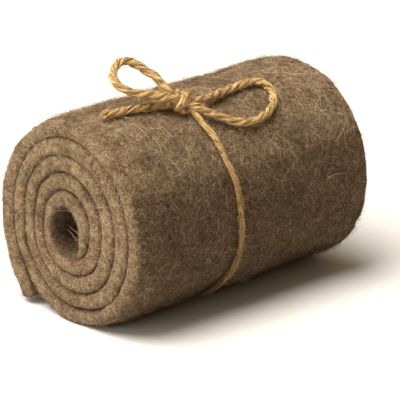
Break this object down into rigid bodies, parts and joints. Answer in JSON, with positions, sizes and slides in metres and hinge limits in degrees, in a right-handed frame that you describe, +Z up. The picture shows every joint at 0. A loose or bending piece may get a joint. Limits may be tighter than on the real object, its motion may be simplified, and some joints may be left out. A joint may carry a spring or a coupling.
{
  "type": "roll of felt",
  "caption": "Thick wool felt strip rolled in a loose spiral with its free end hanging at one side, tied round the middle with jute twine in a bow.",
  "frame": {"origin": "on the floor in the roll's flat spot, under the middle of its length", "axes": "+X along the roll from the open end shown in the picture to the far end, +Y to the back, +Z up"},
  "size_m": [0.119, 0.0852, 0.0977],
  "materials": {
    "felt": "brown-grey needled wool felt, matt and hairy",
    "twine": "three-ply jute twine, golden tan, dry and fibrous"
  },
  "bodies": {
    "root": {"felt_roll": "felt", "twine_band": "twine", "twine_knot": "twine", "bow_loop_left": "twine", "bow_loop_right": "twine", "twine_end": "twine"}
  },
  "joints": []
}
